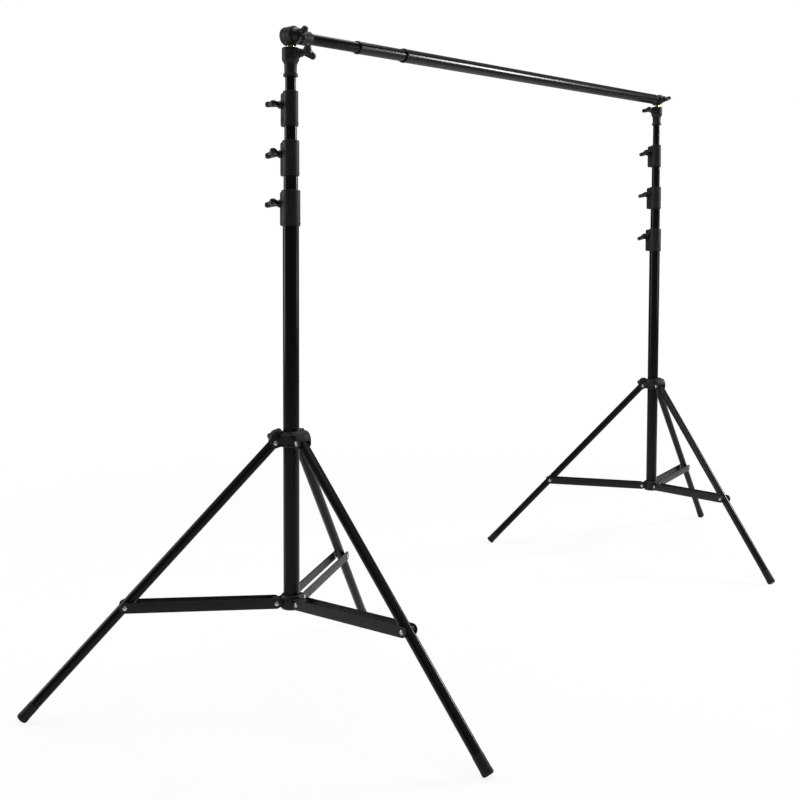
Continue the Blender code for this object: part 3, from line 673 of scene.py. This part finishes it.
def leg_collar():
    """Sliding sleeve with a shallow cone on top and three hoods. A hood is two cheeks joined by a crown,
    whose lip comes down to the spread leg. A flat web joins each hood to the next."""
    bore = SECTION_RADII[0] + FIT
    line = [(bore, -0.010), (0.0240, -0.010), (0.0280, 0), (0.0325, 0.010)]
    line += [(0.0338, 0.0160), (0.0325, 0.0182), (0.0200, 0.0232), (bore, 0.0232)]
    piece = Piece()
    piece.add(spun(eased(line, 0.0012, loop=True), 80, loop=True), "casting")
    around = arc(LEG_PIVOT_RADIUS, 0, LEG_PIVOT_ROUNDING, -120, 0, 10)
    hump = [(0.0468, 0.0105), (0.0432, 0.0195), (0.0368, 0.0250), (0.0300, 0.0266), (0.0235, 0.0240)]
    hump = np.array(hump)
    cheek = np.vstack([around, hump, [(0.0200, 0.0225), (0.0200, -0.007)]])
    cheek = eased(cheek, 0.0030, loop=True, steps=4)
    spread = math.degrees(LEG_ANGLE)
    lip = arc(LEG_PIVOT_RADIUS, 0, LEG_RADIUS + 0.0010, 180, spread, 12)
    tip = lip[-1] + 0.0036 * np.array([math.sin(LEG_ANGLE), -math.cos(LEG_ANGLE)])
    crown = np.vstack([lip, [tip], hump - 0.0002, [(0.0205, 0.0222), (0.0205, 0)]])
    corners = []
    for way in (-1, 1):
        sine, cosine = math.sin(math.radians(60 * way)), math.cos(math.radians(60 * way))
        along = way * (CHEEK_OUTSIDE - 0.0008)
        for out in (0.0235, 0.0368) if way > 0 else (0.0368, 0.0235):
            corners.append((out * cosine + along * sine, out * sine - along * cosine))
    plan = eased(np.array(corners), 0.0010, loop=True, steps=2)
    for leg in range(3):
        place = turn(120 * leg + 60, "Z") @ turn(-90, "X")
        piece.add(slab(plan, -0.0145, 0.0040, edge=0.0020, steps=4), "casting", place)
    for leg in range(3):
        place = turn(120 * leg, "Z")
        for side in (-1, 1):
            edges = sorted((side * CHEEK_INSIDE, side * CHEEK_OUTSIDE))
            piece.add(slab(cheek, *edges, edge=0.0013, steps=4), "casting", place)
            seat = place @ shift(LEG_PIVOT_RADIUS, side * CHEEK_OUTSIDE, 0) @ turn(-90 * side, "X")
            piece.add(disc(0.0072, -0.001, 0.0004, 0.0003), "casting", seat)
        piece.add(slab(crown, -CHEEK_INSIDE - 0.001, CHEEK_INSIDE + 0.001, edge=0.0004), "casting", place)
    boss = [(0, 0.018), (0.0104, 0.018), (0.0090, LEG_COLLAR_BOSS_END)]
    boss += [(STUD_HOLE_RADIUS, LEG_COLLAR_BOSS_END), (STUD_HOLE_RADIUS, 0.030), (0, 0.030)]
    piece.add(spun(eased(boss, 0.0008), 40), "casting", shift(z=0.012) @ turn(-60, "Z") @ turn(90, "Y"))
    return piece


def hub():
    """Cup on the foot of the mast with three lugs for the braces, each with a small web above it."""
    bore = SECTION_RADII[0] + FIT
    line = [(bore, -0.012), (0.0100, -0.012), (0.0100, -0.016), (0.0215, -0.016)]
    line += [(0.0240, -0.013), (0.0240, 0.010), (0.0205, 0.016), (bore, 0.016)]
    piece = Piece()
    piece.add(spun(eased(line, 0.0012, loop=True), 72, loop=True), "casting")
    lug = np.vstack([arc(HUB_PIVOT_RADIUS, 0, 0.0096, -90, 90, 16), [(0.0200, 0.0096), (0.0200, -0.0096)]])
    web = eased([(0.016, 0.0090), (0.030, 0.0090), (0.022, 0.0150), (0.016, 0.0150)], 0.0015, loop=True)
    for leg in range(3):
        place = turn(120 * leg, "Z")
        piece.add(slab(lug, -LUG_HALF_WIDTH, LUG_HALF_WIDTH, edge=0.0010, steps=4), "casting", place)
        piece.add(slab(web, -0.0022, 0.0022, edge=0.0008), "casting", place)
    return piece


def leg():
    """Tube that hangs from its pivot along -Z, with a plug in its top and the rivet through it."""
    end = -(LEG_LENGTH - 0.005)
    bore = LEG_RADIUS - WALL
    top = arc(0, 0, LEG_RADIUS, 90, 0, 10)
    line = np.vstack([top, [(LEG_RADIUS, end), (bore, end), (bore, -0.020), (0, -0.020)]])
    piece = Piece()
    piece.add(spun(line, 56), "tube")
    rivet(piece, CHEEK_OUTSIDE + FIT)
    return piece


def rivet(piece, inside):
    """A shank along y with a domed head on either side, each standing on a small washer."""
    piece.add(shank(inside), "zinc", turn(90, "X"))
    for side in (-1, 1):
        place = shift(0, side * inside, 0) @ turn(-90 * side, "X")
        piece.add(disc(0.0052, 0, 0.0005, 0.0002, 28), "zinc", place)
        piece.add(domed_head(0.0043, 0.0016, 0.0005), "zinc", place)


def foot():
    """Thin rubber cap, almost flush with its tube, with a faint swelling and a rounded edge at its end."""
    top = -(LEG_LENGTH - FOOT_LENGTH)
    bottom = -LEG_LENGTH
    bore = LEG_RADIUS + 0.0002
    skin = FOOT_RADIUS - 0.0005
    line = [(0, bottom + 0.0047), (bore, bottom + 0.0047), (bore, top), (skin - 0.0001, top)]
    line += [(skin, bottom + 0.016), (skin, bottom + 0.0125), (FOOT_RADIUS, bottom + 0.009)]
    line += [(FOOT_RADIUS, bottom + FOOT_EDGE), (FOOT_RADIUS - FOOT_EDGE, bottom), (0, bottom)]
    reach = np.full(len(line), 0.0002)
    reach[-6:-1] = 0.0016
    piece = Piece()
    piece.add(spun(eased(line, reach), 48), "foot")
    return piece


def brace():
    """Two straps, one on each side of the leg, riveted through the hub's lug, with spacers inside them. Also
    gives the angle at which they rise."""
    pin_out = LEG_PIVOT_RADIUS + BRACE_PIN_DISTANCE * math.sin(LEG_ANGLE) - HUB_PIVOT_RADIUS
    pin_up = LEG_PIVOT_HEIGHT - BRACE_PIN_DISTANCE * math.cos(LEG_ANGLE) - HUB_PIVOT_HEIGHT
    length = math.hypot(pin_out, pin_up)
    outside = STRAP_INSIDE + STRAP_THICKNESS
    piece = Piece()
    for side in (-1, 1):
        middle = side * (STRAP_INSIDE + outside) / 2
        facing = shift(0, middle, 0) @ (turn(180, "X") if side < 0 else Matrix.Identity(4))
        piece.add(strap(length, STRAP_HALF_WIDTH, STRAP_THICKNESS), "strap", facing)
        for x, seat in ((0, LUG_HALF_WIDTH + 0.0002), (length, LEG_RADIUS + FIT)):
            place = shift(x, side * outside, 0) @ turn(-90 * side, "X")
            piece.add(domed_head(0.0048, 0.0018, 0.0002), "zinc", place)
            spacer = disc(SPACER_RADIUS, seat, STRAP_INSIDE + 0.0003, 0.0004)
            piece.add(spacer, "zinc", shift(x) @ turn(-90 * side, "X"))
    piece.add(shank(outside), "zinc", turn(90, "X"))
    return piece, math.atan2(pin_up, pin_out)


def socket():
    """Head of the mast: ring, neck over the top tube and a cup for the spigot, the screw's boss on +X."""
    cup = SPIGOT_RADIUS + FIT
    tube = SECTION_RADII[3] + FIT
    line = [(0, CUP_BOTTOM), (cup, CUP_BOTTOM), (cup, SOCKET_TOP)]
    line += [(SOCKET_RADIUS, SOCKET_TOP), (SOCKET_RADIUS, CUP_BOTTOM), (0.0136, NECK_TOP - 0.003)]
    line += [(NECK_RADIUS, RING_TOP), (RING_RADIUS, RING_TOP - 0.001), (RING_RADIUS, 0)]
    line += [(tube, 0), (tube, NECK_TOP), (0, NECK_TOP)]
    reach = [0, 0.0004, 0.0006, 0.0020, 0.0020, 0.0030, 0.0010, 0.0009, 0.0009, 0.0003, 0.0003, 0]
    piece = Piece()
    piece.add(spun(eased(line, reach, steps=5), 72), "casting")
    boss = [(0, 0.010), (0.0128, 0.010), (0.0122, 0.016), (0.0086, SOCKET_BOSS_END)]
    boss += [(STUD_HOLE_RADIUS, SOCKET_BOSS_END), (STUD_HOLE_RADIUS, 0.020), (0, 0.020)]
    piece.add(spun(eased(boss, 0.0012), 40), "casting", shift(z=SOCKET_SCREW) @ turn(90, "Y"))
    return piece


def spigot():
    """Brass stud with a waist for the screw. It shows between socket and bracket."""
    bottom, top = CUP_BOTTOM + FIT, SOCKET_TOP + SPIGOT_REACH
    waist = SPIGOT_RADIUS - 0.0015
    line = [(0, bottom), (SPIGOT_RADIUS, bottom), (SPIGOT_RADIUS, SOCKET_SCREW - 0.007)]
    line += [(waist, SOCKET_SCREW - 0.005), (waist, SOCKET_SCREW + 0.005)]
    line += [(SPIGOT_RADIUS, SOCKET_SCREW + 0.007), (SPIGOT_RADIUS, top), (0, top)]
    piece = Piece()
    piece.add(spun(eased(line, 0.0006), 48), "spigot")
    return piece


def bracket(way):
    """Round barrel across the bar: two cheeks with a web behind, open on the bar's side (+X for way 1)."""
    piece = Piece()
    radius, lowest = (BARREL_RADII[0], BARREL_FEET[0]) if way > 0 else (BARREL_RADII[1], BARREL_FEET[1])
    room = TONGUE_RADIUS + 0.0006
    side = TONGUE_HALF_WIDTH + FIT
    for face in (-1, 1):
        cheek = [(0, side), (radius, side), (radius, BARREL_HALF_WIDTH), (radius * 0.64, BARREL_HALF_WIDTH)]
        cheek += [(radius * 0.60, BARREL_HALF_WIDTH - 0.0006), (0, BARREL_HALF_WIDTH - 0.0006)]
        reach = [0, 0.0004, 0.0042, 0.0005, 0.0005, 0]
        piece.add(spun(eased(cheek, reach, steps=7), 72), "casting", turn(-90 * face, "X"))
    outer = arc(0, 0, radius - 0.0002, 62, 298, 40)
    inner = arc(0, 0, room, 270, 90, 30)
    web = np.vstack([outer, [(radius * 0.44, -room)], inner, [(radius * 0.44, room)]]) * (way, 1)
    piece.add(slab(web, -side - 0.001, side + 0.001, edge=0.0004), "casting")
    skirt = [(0.0084, -lowest), (radius * 0.64, -lowest), (radius * 0.71, -radius * 0.77)]
    skirt += [(radius * 0.80, -radius * 0.56), (0.0084, -radius * 0.56)]
    piece.add(spun(eased(skirt, 0.0008, loop=True), 64, loop=True), "casting")
    back = turn(-90, "X")
    piece.add(disc(0.0078, 0, 0.0008, 0.0003), "screw", shift(0, BARREL_HALF_WIDTH - 0.0006, 0) @ back)
    piece.add(hexagon(0.0108, 0, 0.0034), "screw", shift(0, BARREL_HALF_WIDTH, 0) @ back)
    return piece


def bar_end(way):
    """Tongue about the tilt axis with its neck along +X: way 1 has a cup over the thin tube, way -1 a plug
    inside the thick one."""
    piece = Piece()
    outline = np.vstack([arc(0, 0, TONGUE_RADIUS, 45, 315, 40), [(0.026, -0.0085), (0.026, 0.0085)]])
    outline = eased(outline, 0.0010, loop=True, steps=2)
    piece.add(slab(outline, -TONGUE_HALF_WIDTH, TONGUE_HALF_WIDTH, edge=0.0008), "casting")
    if way > 0:
        outside = BAR_RADII[0] + 0.0035
        bore = BAR_RADII[0] + FIT
        seat = BAR_STARTS[0] - FIT
        line = [(0, 0.0235), (0.0110, 0.0235), (outside, 0.0265), (outside, 0.056)]
        line += [(bore, 0.056), (bore, seat), (0, seat)]
        reach = [0, 0.0012, 0.0016, 0.0012, 0.0004, 0.0003, 0]
    else:
        inside = BAR_RADII[2] - WALL - FIT
        line = [(0, 0.0235), (0.0150, 0.0235), (0.0165, 0.0245), (0.0165, 0.0290)]
        line += [(inside, 0.0290), (inside, 0.060), (0, 0.060)]
        reach = [0, 0.0006, 0.0006, 0.0006, 0.0003, 0.0010, 0]
    piece.add(spun(eased(line, reach), 64), "casting", turn(90, "Y"))
    return piece


def masts():
    """Tubes, lock collars, sockets, spigots and every wing knob of both stands."""
    collars = [lock_collar(stage).mesh() for stage in range(3)]
    knobs = {
        "lock_knob": wing_knob(2 * EAR_HALF_WIDTH + BOSS_HEIGHT + 0.003).mesh(),
        "socket_knob": wing_knob(SOCKET_BOSS_END - SPIGOT_RADIUS - FIT).mesh(),
        "leg_collar_knob": wing_knob(LEG_COLLAR_BOSS_END - SECTION_RADII[0] - FIT).mesh(),
    }
    cup = socket().mesh()
    stud = spigot().mesh()
    for side, x in STAND_X.items():
        bodies = [f"{side}_base", f"{side}_mast_2", f"{side}_mast_3", f"{side}_mast_4"]
        axis = shift(x, MAST_Y)
        for stage, body in enumerate(bodies):
            node = f"{side}_mast_tube_{stage + 1}"
            low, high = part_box(node)
            piece = Piece()
            piece.add(tube_shell(SECTION_RADII[stage], SECTION_RADII[stage] - WALL, low.z, high.z), "tube")
            stand_in(f"{side}_tube_{stage + 1}", piece, axis, body, "tube", node)
            if stage < 3:
                node = f"{side}_lock_collar_{stage + 1}"
                place = axis @ shift(z=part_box(node)[0].z) @ Matrix.Rotation(COLLAR_TURN, 4, "Z")
                stand_in(f"{side}_clamp_{stage + 1}", collars[stage], place, body, "casting", node)
        head = axis @ shift(z=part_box(f"{side}_socket")[0].z)
        screw = JOINTS[f"{side}_socket_knob_turn"]["axis"]
        facing = Matrix.Rotation(math.atan2(screw[1], screw[0]), 4, "Z")
        stand_in(f"{side}_cup", cup, head @ facing, bodies[3], "casting", f"{side}_socket")
        stand_in(f"{side}_stud", stud, head, f"{side}_head", "spigot", f"{side}_spigot")
        for node in ("lock_knob_1", "lock_knob_2", "lock_knob_3", "socket_knob", "leg_collar_knob"):
            knob_in_place(side, node, knobs[node.rstrip("_123")])


def knob_in_place(side, node, mesh):
    """A wing knob on its joint's axis, its wings turned about it as KNOB_TURNS says. That is the CAD node's
    own angle, except for the socket knobs, whose wings stand nearly upright there."""
    joint = JOINTS[f"{side}_{node}_turn"]
    place, outward = Vector(joint["pos_m"]), Vector(joint["axis"])
    if node.startswith("lock"):
        seat = Matrix.Rotation(COLLAR_TURN, 4, "Z") @ turn(-90, "X")
    elif node == "bracket_knob":
        seat = turn(90, "X")
    else:
        seat = Matrix.Rotation(math.atan2(outward.y, outward.x), 4, "Z") @ turn(90, "Y")
    turned = Matrix.Translation(place) @ seat @ turn(KNOB_TURNS[side][node], "Z")
    stand_in(f"{side}_{node}_wings", mesh, turned, f"{side}_{node}", "knob", f"{side}_{node}")


def tripods():
    """Leg collars, hubs, legs, feet and braces of both stands."""
    slider, cup, limb, shoe = leg_collar().mesh(), hub().mesh(), leg().mesh(), foot().mesh()
    pair, rise = brace()
    pair = pair.mesh()
    for side, x in STAND_X.items():
        stand = shift(x, MAST_Y) @ Matrix.Rotation(STAND_TURNS[side], 4, "Z")
        sliding = stand @ shift(z=LEG_PIVOT_HEIGHT)
        low = stand @ shift(z=HUB_PIVOT_HEIGHT)
        stand_in(f"{side}_slider", slider, sliding, f"{side}_leg_slide", "casting", f"{side}_leg_collar")
        stand_in(f"{side}_foot_cup", cup, low, f"{side}_base", "casting", f"{side}_hub")
        for number, letter in enumerate("abc"):
            around = turn(120 * number, "Z")
            hinge = sliding @ around @ shift(LEG_PIVOT_RADIUS) @ Matrix.Rotation(-LEG_ANGLE, 4, "Y")
            body = f"{side}_leg_{letter}"
            stand_in(f"{side}_limb_{letter}", limb, hinge, body, "tube", body)
            stand_in(f"{side}_shoe_{letter}", shoe, hinge, body, "foot", f"{side}_foot_{letter}")
            pin = low @ around @ shift(HUB_PIVOT_RADIUS) @ Matrix.Rotation(-rise, 4, "Y")
            body = f"{side}_brace_{letter}"
            stand_in(f"{side}_straps_{letter}", pair, pin, body, "strap", body)


def crossbar():
    """The two brackets, the tongues in them, and the three tubes of the bar."""
    left = Matrix.Translation(JOINTS["left_tilt"]["pos_m"])
    right = Matrix.Translation(JOINTS["right_tilt"]["pos_m"])
    sloped = left @ Matrix.Rotation(-BAR_SLOPE, 4, "Y")
    stand_in("left_barrel", bracket(1), left, "left_head", "casting", "left_bracket")
    stand_in("right_barrel", bracket(-1), right, "right_head", "casting", "right_bracket")
    for side, radius in zip(STAND_X, BARREL_RADII):
        knob = bracket_knob(2 * BARREL_HALF_WIDTH + 0.002, radius - BARREL_EDGE).mesh()
        knob_in_place(side, "bracket_knob", knob)
    stand_in("left_tongue", bar_end(1), sloped, "bar_thin", "casting", "left_bar_end")
    far = right @ turn(180, "Z") @ Matrix.Rotation(BAR_SLOPE, 4, "Y")
    stand_in("right_tongue", bar_end(-1), far, "bar_thick", "casting", "right_bar_end")
    names = ("inner", "middle", "outer")
    for section, (name, body) in enumerate(zip(names, ("bar_thin", "bar_middle", "bar_thick"))):
        radius, start = BAR_RADII[section], BAR_STARTS[section]
        bead = BEAD_HEIGHT if section else 0
        piece = Piece()
        piece.add(tube_shell(radius, radius - WALL, start, start + BAR_LENGTH, bead=bead), "tube")
        stand_in(f"bar_{name}", piece, sloped @ turn(90, "Y"), body, "tube", f"bar_{name}_tube")


def floor():
    """A pale floor seen as white, with a share of its own shading near the stands to keep their shadow."""
    size = 14.0
    corners = [(-size, -size, 0), (size, -size, 0), (size, size, 0), (-size, size, 0)]
    mesh = bpy.data.meshes.new("studio floor")
    mesh.from_pydata(corners, [], [(0, 1, 2, 3)])
    made = bpy.data.objects.new("studio_floor", mesh)
    bpy.context.scene.collection.objects.link(made)
    finish = Finish("pale studio floor")
    grain = finish.noise(finish.world((3, 3, 3)), 2)
    rays = {name: finish.node("ShaderNodeLightPath", output=name) for name in LIT_RAYS}
    colour = finish.mixed(grain, (0.90, 0.90, 0.89), (0.93, 0.93, 0.92))
    glow = finish.node("ShaderNodeEmission", None, {"Color": (1.0, 1.0, 1.0, 1), "Strength": 1.0})
    finish.surface(colour, 0.7)
    shaded = Signal(finish, finish.shader.outputs[0])
    place = finish.world((1, 1, 1))
    away = finish.node("ShaderNodeVectorMath", {"operation": "LENGTH"}, {0: place}, "Value")
    near = 1 - away.above(1.3, 3.2)
    share = rays["Is Camera Ray"] * (1 - near * 0.13)
    share = share + rays["Is Glossy Ray"] * LIT_RAYS["Is Glossy Ray"] + rays["Is Transmission Ray"]
    mixed = finish.node("ShaderNodeMixShader", None, {0: share, 1: shaded, 2: glow})
    output = finish.tree.nodes["Material Output"]
    finish.tree.links.new(mixed.socket, output.inputs["Surface"])
    mesh.materials.append(finish.material)


class Surroundings(Finish):
    """The world's nodes, made with the same signals as a finish's."""

    def __init__(self, name):
        self.world_data = bpy.data.worlds.new(name)
        self.world_data.use_nodes = True
        self.tree = self.world_data.node_tree


def studio():
    """White surroundings that light from above, a broad soft light overhead and three around the stands."""
    scene = bpy.context.scene
    sky = Surroundings("studio")
    ahead = sky.node("ShaderNodeTexCoord", output="Generated")
    rise = sky.node("ShaderNodeSeparateXYZ", None, {0: ahead}, "Z")
    rays = {name: sky.node("ShaderNodeLightPath", output=name) for name in LIT_RAYS}
    seen = sum(rays[name] * share for name, share in LIT_RAYS.items())
    dim = 0.06 + rise.above(0.35, 0.95) * 0.50
    back = sky.tree.nodes["Background"]
    back.inputs["Color"].default_value = (1, 1, 1, 1)
    sky.feed(back.inputs["Strength"], dim + (1 - dim) * seen)
    scene.world = sky.world_data
    scene.view_settings.view_transform = "Standard"
    lights = (
        ("overhead", (-0.2, 0.3, 3.4), (-0.1, 0.1, 0.8), 3.2, 2.2, 62),
        ("back", (-2.7, 3.2, 1.7), (-0.8, 0.1, 1.0), 1.6, 2.2, 60),
        ("key", (3.3, -1.8, 2.4), (-0.1, 0.05, 1.45), 0.75, 0.85, 92),
        ("front", (1.6, -2.0, 1.15), (-0.5, 0.05, 1.2), 0.9, 0.5, 9),
    )
    for name, place, aim, width, height, power in lights:
        data = bpy.data.lights.new(name, "AREA")
        data.shape = "RECTANGLE"
        data.size, data.size_y = width, height
        data.energy = power
        made = bpy.data.objects.new(name, data)
        made.location = place
        made.rotation_euler = (Vector(aim) - Vector(place)).to_track_quat("-Z", "Y").to_euler()
        scene.collection.objects.link(made)


def camera():
    """The photograph's view: its lens, place and level, with the horizon line above the picture's middle."""
    yaw, down, roll = map(math.radians, (CAMERA_YAW, CAMERA_DOWN, CAMERA_ROLL))
    ahead = Vector((math.cos(down) * math.sin(yaw), math.cos(down) * math.cos(yaw), -math.sin(down)))
    side = Vector((math.cos(yaw), -math.sin(yaw), 0))
    above = side.cross(ahead)
    cosine, sine = math.cos(roll), math.sin(roll)
    side, above = cosine * side + sine * above, cosine * above - sine * side
    data = bpy.data.cameras.new("camera")
    data.sensor_width = SENSOR_WIDTH
    data.lens = LENS_PIXELS / PICTURE_WIDTH * SENSOR_WIDTH
    data.shift_y = SHIFT_PIXELS / PICTURE_WIDTH
    made = bpy.data.objects.new("camera", data)
    facing = Matrix((side, above, -ahead)).transposed().to_4x4()
    made.matrix_world = Matrix.Translation(CAMERA_PLACE) @ facing
    bpy.context.scene.collection.objects.link(made)
    bpy.context.scene.camera = made


def main():
    """Builds the view, the surroundings and every piece."""
    camera()
    studio()
    floor()
    masts()
    tripods()
    crossbar()


main()
